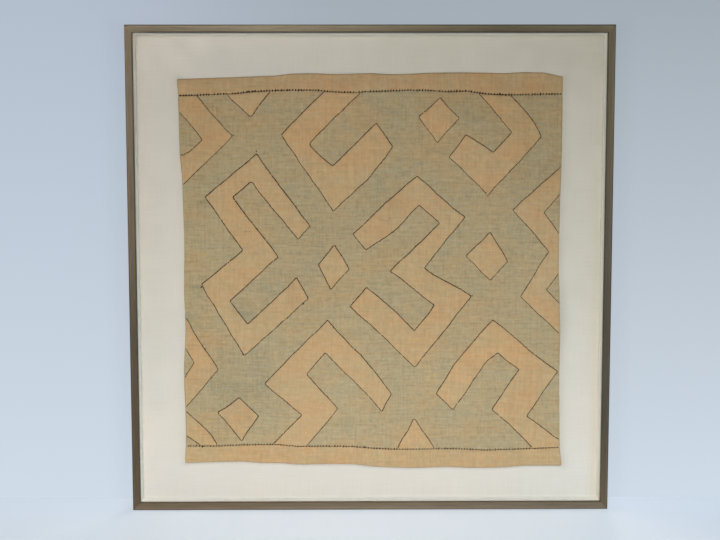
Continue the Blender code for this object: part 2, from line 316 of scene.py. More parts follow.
# Stains and worn places in millimetres: centre x, centre z, reach along x, reach along z, and the tint
# that multiplies the cloth's colour
STAINS = (
    (-318, 405, 22, 3.5, (0.80, 0.82, 0.86)),
    (-303, 558, 11, 8, (0.78, 0.82, 0.86)),
    (-283, 304, 26, 14, (1.06, 0.93, 0.86)),
    (305, 316, 14, 10, (1.03, 0.95, 0.90)),
    (-228, 363, 24, 20, (0.87, 0.92, 0.98)),
    (-235, 225, 80, 66, (0.86, 0.90, 0.94)),
    (-318, 480, 24, 150, (0.97, 0.97, 0.96)),
    (-325, 350, 22, 9, (0.86, 0.90, 0.95)),
    (-318, 330, 22, 6, (0.86, 0.90, 0.94)),
    (-330, 520, 20, 5, (0.88, 0.91, 0.95)),
    (-204, 370, 5, 4, (1.25, 1.22, 1.20)),
    (108, 215, 60, 40, (1.06, 1.02, 0.99)),
    (-60, 690, 260, 60, (1.03, 0.99, 0.95)),
    (-90, 500, 50, 60, (0.95, 0.95, 0.95)),
    (20, 568, 38, 38, (0.91, 0.93, 0.94)),
    (300, 620, 60, 60, (0.95, 0.93, 0.91)),
    (-300, 690, 40, 70, (0.96, 0.93, 0.90)),
    (200, 300, 90, 60, (1.03, 1.01, 0.98)),
    (240, 745, 110, 70, (0.99, 0.94, 0.885)),
    (-75, 735, 70, 45, (1.06, 1.02, 1.03)),
    (-60, 772, 300, 14, (0.96, 0.94, 0.95)),
    (-165, 400, 60, 60, (0.94, 0.95, 0.97)),
    (60, 400, 260, 110, (0.985, 0.965, 0.945)),
    (250, 290, 60, 40, (1.04, 0.98, 0.94)),
    (0, 125, 150, 22, (1.05, 1.03, 1.03)),
    (-120, 200, 110, 90, (1.03, 1.03, 1.05)),
)

# The same for the linen's painted light and shade: darker, paler and yellower places that stand for how the
# light falls across it, the row at x 352 a painted shadow beside the cloth's right edge
LINEN_PAINTED_LIGHT = (
    (-385, 420, 60, 210, (0.94, 0.945, 0.94)),
    (390, 420, 60, 230, (0.96, 0.96, 0.945)),
    (395, 560, 80, 260, (0.945, 0.96, 0.925)),
    (352, 350, 10, 50, (0.90, 0.90, 0.87)),
    (400, 830, 130, 60, (0.94, 0.94, 0.91)),
    (130, 820, 190, 60, (0.94, 0.95, 0.905)),
    (-400, 840, 120, 60, (1.11, 1.09, 1.10)),
    (-150, 840, 130, 40, (1.03, 1.03, 1.02)),
    (-400, 270, 70, 130, (0.95, 0.97, 1.0)),
    (-380, 40, 110, 60, (0.98, 1.0, 1.06)),
    (380, 40, 110, 60, (1.0, 1.03, 1.05)),
    (-30, 10, 330, 40, (1.0, 1.015, 1.05)),
    (-20, 68, 300, 14, (0.97, 0.98, 1.0)),
)

# The linen's painted shadow beside the cloth: its depth and its reach in millimetres on each side, its
# tint, its rings of mesh points in millimetres, and how softly one side passes into the next
CLOTH_SHADOW = {"left": (0.085, 9.0), "right": (0.15, 10.0), "top": (0.01, 5.0), "bottom": (0.38, 3.8)}
CLOTH_SHADOW_TINT = (0.88, 1.0, 1.12)
CLOTH_SHADOW_RINGS = (0.6, 2.0, 3.6, 5.5, 8.0, 11.0, 15.0, 20.0)
CORNER_BLEND = 0.03

# How far in from the spacers the linen's border is lightened by painted light, in millimetres
BORDER_LIGHT_REACH = 8.0

# Each rail's axis, then its painted light and shade at places along it in metres, which make the four rails
# lit and shaded copies of one wax
RAIL_PAINTED_LIGHT = {
    "top": (0, (
        (-0.40, (1.54, 1.52, 1.46)), (-0.17, (2.02, 2.02, 1.82)), (0.04, (1.28, 1.28, 1.08)),
        (0.24, (0.84, 0.85, 0.71)), (0.42, (1.10, 1.12, 0.97)),
    )),
    "left": (2, (
        (0.02, (0.58, 0.52, 0.42)), (0.14, (0.50, 0.455, 0.365)), (0.33, (0.50, 0.455, 0.365)),
        (0.85, (1.56, 1.42, 1.31)),
    )),
    "right": (2, (
        (0.03, (0.68, 0.63, 0.53)), (0.16, (0.43, 0.42, 0.335)), (0.36, (0.43, 0.42, 0.335)),
        (0.85, (1.09, 1.09, 0.96)),
    )),
    "bottom": (0, (
        (-0.42, (0.84, 0.75, 0.65)), (-0.20, (0.90, 0.82, 0.72)), (0.05, (1.00, 0.93, 0.82)),
        (0.40, (0.90, 0.85, 0.76)),
    )),
}

# Rails and spacers in millimetres: how far each rail's lip stands over the mount, how high its foot is
# darkened by painted shade, its rebate's clearance, how far a mitre is set back and worn, then beads,
# chamfers and soft edges
LIP_OVER = {"top": 0.7, "left": 0.7, "right": 0.7, "bottom": 1.3}
FOOT_SHADE = 2.6
REBATE_GAP = 0.3
RAIL_SETBACK = 0.12
SPACER_SETBACK = 0.25
MITRE_WEAR = 1.2
OUTER_BEAD = 2.3
INNER_BEAD = 1.1
LIP_FALL = 0.9
LIP_CHAMFER = 0.4
REBATE_CHAMFER = 0.3
BACK_CHAMFER = 0.8
SPACER_SOFT_FRONT = 0.7
SPACER_SOFT_REAR = 0.15

# The rail's face between its beads: inset and depth in millimetres, and how rubbed and lighter it is,
# partly worn wax and partly a painted highlight
RAIL_FACE = (
    (3.0, 0.0, 1.0),
    (3.8, 0.06, 0.9),
    (4.5, 0.38, 0.1),
    (5.6, 0.75, 0.0),
    (7.4, 0.95, 0.05),
    (9.4, 0.98, 0.15),
    (11.2, 0.90, 0.45),
)

# Steps along a rail or spacer, and the angle in degrees from which its edges are sharp
BAR_STEPS = 24
SHARP_EDGE = 38.0

BANDS = ("border_top", "border_bottom")
CLOTH = ("ground_cloth", *BANDS)
PATCHES = sorted(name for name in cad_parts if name.startswith("patch_"))
LINEN_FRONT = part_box("linen_cover")[0].y
random = np.random.default_rng(41)


# Shader building

class Finish:
    """A material while it is built. Each call adds one shader node and returns its output."""

    def __init__(self, name):
        self.material = bpy.data.materials.new(name)
        self.material.use_nodes = True
        self.tree = self.material.node_tree
        self.shader = self.tree.nodes["Principled BSDF"]

    def node(self, kind, values=(), **settings):
        """A new node with its settings, and the values fed to its first inputs in order."""
        made = self.tree.nodes.new(kind)
        for key, value in settings.items():
            setattr(made, key, value)
        for socket, value in zip(made.inputs, values):
            self.feed(socket, value)
        return made

    def feed(self, socket, value):
        if isinstance(value, bpy.types.NodeSocket):
            self.tree.links.new(value, socket)
        else:
            socket.default_value = value

    def fill(self, node, **values):
        """Feeds a node's inputs by name, with _ for a space, and leaves out those that are None."""
        for name, value in values.items():
            if value is not None:
                self.feed(node.inputs[name.replace("_", " ")], value)

    def place(self):
        return self.node("ShaderNodeTexCoord").outputs["Object"]

    def attribute(self, name, output="Vector"):
        return self.node("ShaderNodeAttribute", attribute_name=name).outputs[output]

    def scaled(self, vector, factors):
        return self.node("ShaderNodeVectorMath", (vector, factors), operation="MULTIPLY").outputs[0]

    def math(self, operation, *values):
        return self.node("ShaderNodeMath", values, operation=operation).outputs[0]

    def parts(self, vector):
        return self.node("ShaderNodeSeparateXYZ", (vector,)).outputs

    def noise(self, vector, scale, detail=2.0, roughness=0.5, distortion=0.0, output="Fac"):
        """Smooth noise. The scale is how many of its waves lie along a metre each way."""
        made = self.node("ShaderNodeTexNoise")
        vector = self.scaled(vector, scale)
        self.fill(made, Vector=vector, Scale=1.0, Detail=detail, Roughness=roughness, Distortion=distortion)
        return made.outputs[output]

    def spread(self, value, low, high, new_low=0.0, new_high=1.0, smooth=False):
        """A number carried from one span to another and held at the new span's ends."""
        kind = "SMOOTHSTEP" if smooth else "LINEAR"
        values = (value, low, high, new_low, new_high)
        return self.node("ShaderNodeMapRange", values, interpolation_type=kind).outputs[0]

    def mix(self, factor, first, second, blend="MIX"):
        made = self.node("ShaderNodeMix", (factor,), data_type="RGBA", blend_type=blend)
        for socket, value in zip(made.inputs[6:8], (first, second)):
            self.feed(socket, value if isinstance(value, bpy.types.NodeSocket) else (*value, 1.0))
        return made.outputs[2]

    def times(self, colour, tint):
        return self.mix(1.0, colour, tint, "MULTIPLY")

    def shade(self, colour, factor):
        """The colour made darker or lighter by a number from the nodes."""
        return self.times(colour, self.node("ShaderNodeCombineColor", (factor,) * 3).outputs[0])

    def bump(self, height, distance, strength=1.0, normal=None):
        made = self.node("ShaderNodeBump")
        self.fill(made, Height=height, Distance=distance, Strength=strength, Normal=normal)
        return made.outputs[0]

    def wobbled(self, vector, wave, reach):
        """The place shifted a little by slow noise, so that threads don't run dead straight."""
        drift = self.noise(vector, (1 / (wave * MM),) * 3, output="Color")
        values = (drift, (reach * MM, 0.0, reach * MM), vector)
        return self.node("ShaderNodeVectorMath", values, operation="MULTIPLY_ADD").outputs[0]

    def tinted(self, colour, value, reach, tints):
        """The colour under one tint where a noise is low and under the other where it is high."""
        for tint, edge in zip(tints, (0.5 - reach, 0.5 + reach)):
            cover = self.spread(value, 0.5, edge)
            colour = self.mix(cover, colour, self.times(colour, tint))
        return colour

    def along(self, place, tones):
        """A colour that changes along one axis, from pairs of a place and a colour in order."""
        (start, colour), *others = tones
        for end, following in others:
            colour = self.mix(self.spread(place, start, end), colour, following)
            start = end
        return colour

    def finish(self, colour, roughness, normal=None, **sockets):
        self.fill(self.shader, Base_Color=colour, Roughness=roughness, Normal=normal, **sockets)
        return self.material


def strands(finish, threads, wide, high, detail=1.0):
    """Uneven threads that run one way, by their reach across and up in millimetres.

    It gives a number for each thread, which drifts slowly along it.
    """
    return finish.noise(threads, (1 / (wide * MM), 31.0, 1 / (high * MM)), detail, 0.6)


def woven(finish, threads, pitch):
    """The height of a plain weave, thread over thread, with rounded crowns."""
    across, _, along = finish.parts(finish.scaled(threads, (math.pi / (pitch * MM),) * 3))
    first, second = finish.math("SINE", across), finish.math("SINE", along)
    over = finish.math("MULTIPLY", first, second)
    crowns = finish.math("ADD", finish.math("ABSOLUTE", first), finish.math("ABSOLUTE", second))
    return finish.math("MULTIPLY_ADD", over, 0.5, crowns)


def raffia(name, light, dark, streak_colour, short_tints, wide_tints, shares, blotches):
    """Hand-woven raffia: flat strands both ways, each a little its own tone, with worn blotches.

    The tints are pairs of multipliers, for short streaks and for wide blotches. The shares say how
    much short strands show, across the cloth and up it, and then long ones. The blotches' numbers
    are how many of them lie along a metre each way.
    """
    f = Finish(name)
    threads = f.wobbled(f.attribute("threads"), *RAFFIA_WOBBLE)
    short_weft, short_warp, long_weft, long_warp = shares
    strand_tones = (
        (strands(f, threads, 14.0, 4.2, 2.0), short_weft),
        (strands(f, threads, 4.0, 11.0, 2.0), short_warp),
        (strands(f, threads, 90.0, 4.6), long_weft),
        (strands(f, threads, 4.0, 110.0), long_warp),
        (strands(f, threads, 1.1, 30.0), 0.35),
        (strands(f, threads, 30.0, 1.1), 0.35),
    )
    tone = -0.5 * sum(share for _, share in strand_tones)
    for strand, share in strand_tones:
        tone = f.math("MULTIPLY_ADD", strand, share, tone)
    colour = f.mix(f.spread(tone, -0.34, 0.34), dark, light)
    hue = strands(f, threads, 26.0, 5.6, 2.0)
    colour = f.tinted(colour, hue, 0.13, short_tints)
    cloud = f.noise(threads, blotches, 3.0, 0.6)
    colour = f.tinted(colour, cloud, 0.13, wide_tints)
    streak = strands(f, threads, 40.0, 3.0, 2.0)
    colour = f.mix(f.spread(streak, 0.62, 0.76, 0.0, 0.6, smooth=True), colour, streak_colour)
    colour = f.times(colour, f.attribute("stain_and_shade", "Color"))
    height = f.math("MULTIPLY_ADD", tone, 0.7, woven(f, threads, RAFFIA_PITCH))
    normal = f.bump(height, 0.00016, 0.8)
    normal = f.bump(f.noise(threads, (140.0, 5.0, 140.0), 2.0), 0.0006, 0.6, normal)
    roughness = f.spread(tone, -0.4, 0.4, 0.86, 0.72)
    return f.finish(
        colour, roughness, normal,
        Sheen_Weight=0.08, Sheen_Roughness=0.5, Specular_IOR_Level=0.25,
    )


def linen(name, dark, light, edge_tones=None, foot_tone=1.0):
    """Plain linen weave.

    Without edge tones it is the mount's sheet, with soft changes of tone over it, its painted light and
    shade, and a border lightened by painted light. The edge tones of a wrapped strip are painted shade
    towards its front edge, under the lip, and painted light towards its rear edge, and the third number
    is the mark that the front tone reaches to. The foot tone is painted light over the lower half of the
    frame.
    """
    f = Finish(name)
    threads = f.attribute("threads")
    warp = strands(f, threads, 1.1, 60.0)
    weft = strands(f, threads, 60.0, 1.1)
    tone = f.math("ADD", warp, weft)
    colour = f.mix(f.spread(tone, 0.6, 1.4), dark, light)
    cloud = f.noise(threads, (14.0, 3.0, 14.0), 2.0)
    colour = f.shade(colour, f.spread(cloud, 0.3, 0.7, 0.985, 1.012))
    spot = f.parts(f.place())
    if edge_tones is None:
        # on the linen this attribute carries painted light and shade, and the painted shadow round the
        # cloth
        colour = f.times(colour, f.attribute("stain_and_shade", "Color"))
        # painted light: the border beside the spacers is lightened against the recess's shade
        for axis, edge, inward, tint in painted_light_borders():
            near = f.spread(spot[axis], edge + inward * BORDER_LIGHT_REACH * MM, edge)
            colour = f.mix(near, colour, f.times(colour, tint))
    else:
        depth = f.parts(f.attribute("rail"))[2]
        front_tone, rear_tone, reach = edge_tones
        # painted shade towards the front edge under the lip, painted light towards the rear edge
        colour = f.shade(colour, f.spread(depth, reach - 1.0, reach, front_tone, 1.0))
        colour = f.shade(colour, f.spread(depth, 0.0, 1.0, 1.0, rear_tone))
        # painted light: the strip is lighter towards the bottom of the frame
        colour = f.shade(colour, f.spread(spot[2], 0.2, 0.6, foot_tone, 1.0))
    normal = f.bump(f.math("MULTIPLY_ADD", tone, 0.6, woven(f, threads, LINEN_PITCH)), 0.0001, 0.5)
    return f.finish(colour, 0.92, normal, Sheen_Weight=0.1, Specular_IOR_Level=0.2)


def painted_light_borders():
    """The linen's four borders in the frame's opening, lightened by painted light: axis, edge, way inward,
    tint at the edge.
    """
    sides = (
        ("left", 0, 1, 1, (1.0, 1.01, 1.04)),
        ("right", 0, 0, -1, (1.08, 1.12, 1.19)),
        ("bottom", 2, 1, 1, (1.03, 1.06, 1.09)),
        ("top", 2, 0, -1, (1.0, 1.01, 1.04)),
    )
    for side, axis, corner, inward, tint in sides:
        yield axis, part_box(f"spacer_{side}")[corner][axis], inward, tint


def frame_wood(name, axis, tones):
    """Bronze-brown waxed wood, its grain along the rail and its outer bead rubbed lighter, partly worn wax
    and partly a painted highlight.

    The tones are painted light and shade that multiply the colour, each at its place in metres along the
    axis,
    0 for x or 2 for z.
    """
    f = Finish(name)
    along, across, rubbed = f.parts(f.attribute("rail"))
    place = f.node("ShaderNodeCombineXYZ", (along, across, 0.0)).outputs[0]
    grain = f.noise(place, (16.0, 900.0, 1.0), 3.0, 0.6, 0.4)
    figure = f.noise(place, (5.0, 160.0, 1.0), 2.0, 0.5)
    wear = f.noise(f.place(), (120.0, 120.0, 120.0), 4.0, 0.65)
    colour = f.mix(f.spread(grain, 0.3, 0.7), WAX_DARK, WAX_LIGHT)
    colour = f.mix(f.spread(figure, 0.35, 0.7, 0.0, 0.5), colour, WAX_FIGURE)
    # lighter wax on the beads: partly wear, partly a painted highlight
    paler = f.math("MULTIPLY", f.math("MAXIMUM", rubbed, 0.0), f.spread(wear, 0.25, 0.7, 0.55, 1.0))
    colour = f.mix(f.math("MULTIPLY", paler, 0.22), colour, WAX_WORN_AND_HIGHLIT)
    spot = f.parts(f.place())
    # painted light and shade: the rail lighter and darker along its length by its tones
    colour = f.times(colour, f.along(spot[axis], tones))
    # painted shade on the lips' inner faces, deepest under the top rail and fading down the sides
    lip_shade_by_height = f.math("ADD", f.spread(spot[2], 0.0, 0.6, 0.1, 0.9), f.spread(spot[2], 0.83, 0.86, 0.0, 0.9))
    inside = f.math("MULTIPLY", f.spread(rubbed, 0.0, -1.0), lip_shade_by_height)
    colour = f.mix(inside, colour, WAX_PAINTED_SHADE)
    # painted shade along the rails' foot, where they stand
    colour = f.shade(colour, f.spread(spot[2], 0.0, FOOT_SHADE * MM, 0.5, 1.0))
    roughness = f.spread(wear, 0.3, 0.7, 0.36, 0.52)
    normal = f.bump(grain, 0.00012, 0.7)
    return f.finish(colour, roughness, normal, Specular_IOR_Level=0.14)


def board_wood():
    """The plain back of the mount board: plywood with long, soft grain."""
    f = Finish("mount_board_plywood")
    place = f.place()
    grain = f.noise(place, (3.0, 3.0, 190.0), 4.0, 0.6, 0.8)
    pores = f.noise(place, (60.0, 60.0, 1400.0), 2.0)
    figure = f.noise(place, (1.2, 1.0, 14.0), 2.0, 0.5, 1.5)
    colour = f.mix(f.spread(grain, 0.3, 0.7), BOARD_DARK, BOARD_LIGHT)
    colour = f.shade(colour, f.spread(figure, 0.3, 0.7, 0.86, 1.08))
    colour = f.shade(colour, f.spread(pores, 0.58, 0.75, 1.0, 0.80))
    return f.finish(colour, f.spread(grain, 0.3, 0.7, 0.80, 0.66), f.bump(grain, 0.0003, 0.5))


def thread(name, dark, worn):
    """Dark raffia thread, twisted, paler where it is worn."""
    f = Finish(name)
    tone = f.attribute("tone", "Fac")
    fibre = f.noise(f.place(), (1500.0, 1500.0, 1500.0), 2.0)
    colour = f.mix(f.spread(tone, 0.0, 1.0), dark, worn)
    colour = f.shade(colour, f.spread(fibre, 0.3, 0.7, 0.78, 1.2))
    return f.finish(colour, 0.85, f.bump(fibre, 0.00012, 0.7), Specular_IOR_Level=0.15)


def pale_thread():
    """Loose undyed raffia fibre."""
    f = Finish("pale_raffia_fibre")
    fibre = f.noise(f.place(), (1500.0, 1500.0, 1500.0), 2.0)
    colour = f.mix(f.spread(fibre, 0.3, 0.7), FIBRE_DARK, FIBRE_LIGHT)
    return f.finish(colour, 0.75, f.bump(fibre, 0.0001, 0.6))


# Outlines and flat filling, in metres across (x) and up (z)

def sheet_outline(node):
    """The outline of a packed sheet's front, in order, anticlockwise as seen from the front."""
    shape = bmesh.new()
    shape.from_mesh(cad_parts[node].data)
    bmesh.ops.remove_doubles(shape, verts=shape.verts[:], dist=WELD * MM)
    shape.verts.index_update()
    shape.faces.index_update()
    front = {face.index for face in shape.faces if face.normal.y < FRONT_FACING}
    following, places = {}, {}
    for face in shape.faces:
        if face.index not in front:
            continue
        for corner in face.loops:
            beside = [other.index for other in corner.edge.link_faces if other.index != face.index]
            if not any(k in front for k in beside):
                following[corner.vert.index] = corner.link_loop_next.vert.index
                places[corner.vert.index] = (corner.vert.co.x, corner.vert.co.z)
    shape.free()
    start = at = min(following)
    ring = []
    while True:
        ring.append(places[at])
        at = following[at]
        if at == start:
            return np.array(ring)


def waves(points, length, seed, count=10):
    """Smooth uneven waves of about the given length in millimetres, mostly from -1 to 1."""
    rng = np.random.default_rng(seed)
    total = np.zeros(len(points))
    for _ in range(count):
        turn, phase = rng.uniform(0, 2 * math.pi, 2)
        reach = length * MM * rng.uniform(0.75, 1.5)
        along = points[:, 0] * math.cos(turn) + points[:, 1] * math.sin(turn)
        total += np.sin(2 * math.pi * along / reach + phase)
    return total / math.sqrt(count)


def cross(first, second):
    return first[..., 0] * second[..., 1] - first[..., 1] * second[..., 0]


def bend(first, second):
    """The sine of the angle between two directions, or two rows of them."""
    return np.abs(cross(first, second)) / (np.linalg.norm(first, axis=-1) * np.linalg.norm(second, axis=-1))


def sharpened(outline):
    """The outline with each short cut across a corner run out to the corner's point."""
    before, after = outline - np.roll(outline, 1, 0), np.roll(outline, -1, 0) - outline
    outline = outline[bend(before, after) > STRAIGHT]
    count = len(outline)
    points, skip = [], set()
    for k in range(count):
        start, end = outline[k], outline[(k + 1) % count]
        before, after = start - outline[k - 1], outline[(k + 2) % count] - end
        cut = end - start
        if np.linalg.norm(cut) > CORNER_CUT * MM or bend(before, after) < SHARP:
            continue
        share = cross(cut, after) / cross(before, after)
        corner = start + before * share
        if 0 < share and np.linalg.norm(corner - start) < CORNER_CUT * MM:
            points.append((k, corner))
            skip |= {k, (k + 1) % count}
    kept = [(k, outline[k]) for k in range(count) if k not in skip]
    return np.array([point for _, point in sorted(points + kept, key=lambda row: row[0])])


def divided(outline, step):
    """A closed outline with even points, about a step in millimetres apart."""
    points = []
    for start, end in zip(outline, np.roll(outline, -1, 0)):
        count = max(1, round(np.linalg.norm(end - start) / (step * MM)))
        points.append(start + (end - start) * (np.arange(count) / count)[:, None])
    return np.concatenate(points)


def redrawn(outline):
    """The same outline with close points, its kinks eased, and cut by a slightly unsteady hand."""
    points = divided(sharpened(outline), OUTLINE_STEP)
    for _ in range(OUTLINE_EASINGS):
        points = points / 2 + (np.roll(points, 1, 0) + np.roll(points, -1, 0)) / 4
    sway = np.stack([waves(points, HAND_CUT_WAVE, seed) for seed in (7, 8)], 1)
    return points + sway * HAND_CUT * MM


def edge_distance(points, outline):
    """How far each point lies from a closed outline, whose points are close together."""
    tree = KDTree(len(outline))
    for k, (x, z) in enumerate(outline.tolist()):
        tree.insert((x, z, 0.0), k)
    tree.balance()
    nearest = np.array([tree.find((x, z, 0.0))[1] for x, z in points.tolist()])
    run = np.roll(outline, -1, 0) - outline
    gaps = []
    for start in (nearest, (nearest - 1) % len(outline)):
        away = points - outline[start]
        share = np.clip((away * run[start]).sum(1) / (run[start] ** 2).sum(1), 0, 1)
        gaps.append(np.linalg.norm(away - share[:, None] * run[start], axis=1))
    return np.minimum(*gaps)


def ways_out(outline):
    """For each point of an anticlockwise outline, the direction straight out of it."""
    forward = np.roll(outline, -1, 0) - np.roll(outline, 1, 0)
    forward /= np.linalg.norm(forward, axis=1)[:, None]
    return np.stack([forward[:, 1], -forward[:, 0]], 1)


def ring_points(outline, inset):
    """Points a little inside an outline, left out where two of its sides come close."""
    middles = (outline + np.roll(outline, -1, 0)) / 2
    points = (middles if inset == EDGE_RINGS[0] else outline) - ways_out(outline) * inset * MM
    return points[edge_distance(points, outline) > inset * MM * RING_CLEAR]


def filled(outline, step, rings=(), extra=()):
    """Flat triangles inside an outline: points, faces, and where the outline's points went."""
    low, high = outline.min(0), outline.max(0)
    rows = np.arange(low[1], high[1], step * MM * ROW_HEIGHT)
    grid = np.array([
        (x, z)
        for k, z in enumerate(rows)
        for x in np.arange(low[0] + (k % 2) * step * MM / 2, high[0], step * MM)
    ])
    clear = (rings[-1] if rings else 0.0) + step * GRID_CLEAR
    grid = grid[edge_distance(grid, outline) > clear * MM]
    points = np.concatenate([outline, *(ring_points(outline, inset) for inset in rings), grid, *extra])
    made = delaunay_2d_cdt(
        [Vector(p) for p in points.tolist()], [], [list(range(len(outline)))], 1, 1e-9
    )
    coords, faces, origins = made[0], made[2], made[3]
    used = sorted({k for face in faces for k in face})
    renumbered = {old: new for new, old in enumerate(used)}
    rim = {}
    for old in used:
        for origin in origins[old]:
            if origin < len(outline):
                rim[origin] = renumbered[old]
    flat = np.array([tuple(coords[k]) for k in used])
    faces = [[renumbered[k] for k in face] for face in faces]
    return flat, faces, [rim[k] for k in range(len(outline))]


# The cloth's lie: how far its back stands forward of the linen

class Lift:
    """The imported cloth's own ripples, read from its back and smoothed."""

    def __init__(self, nodes):
        trees = []
        for node in nodes:
            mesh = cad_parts[node].data
            points = [v.co.copy() for v in mesh.vertices]
            trees.append(BVHTree.FromPolygons(points, [tuple(p.vertices) for p in mesh.polygons]))
        low = np.min([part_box(node)[0] for node in nodes], axis=0)[[0, 2]]
        high = np.max([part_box(node)[1] for node in nodes], axis=0)[[0, 2]]
        cell = LIFT_CELL * MM
        self.corner = low - 4 * cell
        counts = np.ceil((high - low) / cell).astype(int) + 9
        table = np.full(counts, np.nan)
        for i in range(counts[0]):
            for j in range(counts[1]):
                start = Vector((self.corner[0] + i * cell, 0.2, self.corner[1] + j * cell))
                for tree in trees:
                    hit = tree.ray_cast(start, Vector((0, -1, 0)))[0]
                    if hit is not None:
                        table[i, j] = LINEN_FRONT - hit.y
        self.table = blurred(spread_outwards(table))

    def __call__(self, points):
        place = (points - self.corner) / (LIFT_CELL * MM)
        whole = np.floor(place).astype(int)
        whole = np.clip(whole, 0, np.array(self.table.shape) - 2)
        share = place - whole
        i, j = whole.T
        left = self.table[i, j] * (1 - share[:, 1]) + self.table[i, j + 1] * share[:, 1]
        right = self.table[i + 1, j] * (1 - share[:, 1]) + self.table[i + 1, j + 1] * share[:, 1]
        return left * (1 - share[:, 0]) + right * share[:, 0]


def spread_outwards(table):
    """A table of heights with its empty cells filled from their neighbours."""
    while np.isnan(table).any():
        padded = np.pad(table, 1, constant_values=np.nan)
        around = np.stack([padded[:-2, 1:-1], padded[2:, 1:-1], padded[1:-1, :-2], padded[1:-1, 2:]])
        known = ~np.isnan(around)
        total = np.where(known, around, 0).sum(0)
        count = known.sum(0)
        fill = np.isnan(table) & (count > 0)
        table[fill] = total[fill] / count[fill]
    return table


def blurred(table):
    """The table smoothed both ways by a bell curve."""
    reach = math.ceil(3 * LIFT_BLUR)
    bell = np.exp(-np.arange(-reach, reach + 1) ** 2 / (2 * LIFT_BLUR ** 2))
    bell /= bell.sum()
    for axis in (0, 1):
        wide = np.pad(table, [(reach, reach) if k == axis else (0, 0) for k in (0, 1)], mode="edge")
        table = np.apply_along_axis(np.convolve, axis, wide, bell, mode="valid")
    return table


def turned(x, z, angle):
    """Places or directions turned anticlockwise."""
    return x * np.cos(angle) - z * np.sin(angle), x * np.sin(angle) + z * np.cos(angle)


def crease_height(points):
    total = np.zeros(len(points))
    for x, z, half_length, half_width, bearing, height in CREASES:
        along, across = turned(*((points / MM - (x, z)).T), -math.radians(bearing))
        along = along / half_length
        across = across / half_width + CREASE_SWAY * np.sin(3 * along + x)
        total += height * MM * np.exp(-(along ** 2) - across ** 2)
    return total


def cloth_back(points):
    """How far the cloth's back stands forward of the linen, its folds and crumples included."""
    height = lift(points) + crease_height(points)
    for k, (length, size) in enumerate(CRUMPLES):
        height += waves(points, length, 20 + k) * size * MM
    return np.maximum(height, LINEN_CLEARANCE * MM)


def rounded(distance):
    """The share of full thickness at a distance in from a turned edge."""
    share = np.clip(distance / (TURN_IN * MM), 0, 1)
    return np.sqrt(1 - (1 - share) ** 2)


# Stains and worn places on the cloth, and the linen's painted light and shade

def stain_and_shade_tint(points, stains=STAINS):
    """The colour that multiplies a sheet's own for each point: real stains on the cloth, painted light and
    shade on the linen.
    """
    colour = np.ones((len(points), 4), np.float32)
    for x, z, reach_x, reach_z, tint in stains:
        ragged = 1 + 0.35 * waves(points, 0.8 * min(reach_x, reach_z), int(abs(x) + abs(z)))
        dx, dz = (points[:, 0] - x * MM) / (reach_x * MM), (points[:, 1] - z * MM) / (reach_z * MM)
        cover = np.clip(np.exp(-(dx ** 2 + dz ** 2)) * ragged, 0, 1)
        colour[:, :3] *= 1 + (np.array(tint) - 1) * cover[:, None]
    return colour


# Pieces

def add_mesh(name, vertices, faces, material, smooth=True):
    mesh = bpy.data.meshes.new(name)
    mesh.from_pydata([tuple(v) for v in vertices], [], faces)
    mesh.materials.append(material)
    if smooth:
        mesh.shade_smooth()
    made = bpy.data.objects.new(name, mesh)
    bpy.context.scene.collection.objects.link(made)
    return made


def face_outward(piece):
    shape = bmesh.new()
    shape.from_mesh(piece.data)
    bmesh.ops.recalc_face_normals(shape, faces=shape.faces)
    shape.to_mesh(piece.data)
    shape.free()


def tube_faces(sides, steps):
    """The faces of a closed tube whose points run round it, ring after ring."""
    faces = []
    for ring in range(0, sides * steps, sides):
        for a in range(sides):
            b = (a + 1) % sides
            faces.append((ring + a, ring + sides + a, ring + sides + b, ring + b))
    return faces + [tuple(range(sides)), tuple(reversed(range(sides * steps, sides * (steps + 1))))]


def add_attribute(piece, name, kind, values):
    """A named value for every point of a piece, which its material reads."""
    field = {"FLOAT": "value", "FLOAT_VECTOR": "vector", "FLOAT_COLOR": "color"}[kind]
    made = piece.data.attributes.new(name, kind, "POINT")
    made.data.foreach_set(field, np.asarray(values, np.float32).ravel())


def add_sheet(
    name, outline, step, rings, front, back, material, turn=0.0, shift=0.0, tint=stain_and_shade_tint, extra=(),
):
    """A closed thin sheet: a fine front and a coarser back that share one outline.

    Its threads are turned by some degrees, and the shift sets its pattern apart from other sheets'.
    """
    near, near_faces, near_rim = filled(outline, step, rings, extra)
    far, far_faces, far_rim = filled(outline, BACK_STEP)
    points = np.concatenate([near, far])
    height = np.concatenate([front(near, edge_distance(near, outline)), back(far)])
    vertices = np.stack([points[:, 0], LINEN_FRONT - height, points[:, 1]], 1)
    count = len(near)
    faces = near_faces + [[count + k for k in reversed(face)] for face in far_faces]
    for k in range(len(outline)):
        following = (k + 1) % len(outline)
        faces.append([
            near_rim[following], near_rim[k], count + far_rim[k], count + far_rim[following],
        ])
    piece = add_mesh(name, vertices.tolist(), faces, material)
    length, size = THREAD_WANDER
    place = points + np.stack([waves(points, length, seed) for seed in (31, 32)], 1) * size * MM
    across, along = turned(*place.T, math.radians(turn))
    threads = np.stack([across, np.full(len(points), shift), along], 1)
    add_attribute(piece, "threads", "FLOAT_VECTOR", threads)
    add_attribute(piece, "stain_and_shade", "FLOAT_COLOR", tint(points))
    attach(piece, BODY)
    return piece


def stand_for(node):
    """Hides the solid that a piece is the look of."""
    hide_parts(node)


def flat_area(outline):
    return abs(cross(outline, np.roll(outline, -1, 0)).sum()) / 2


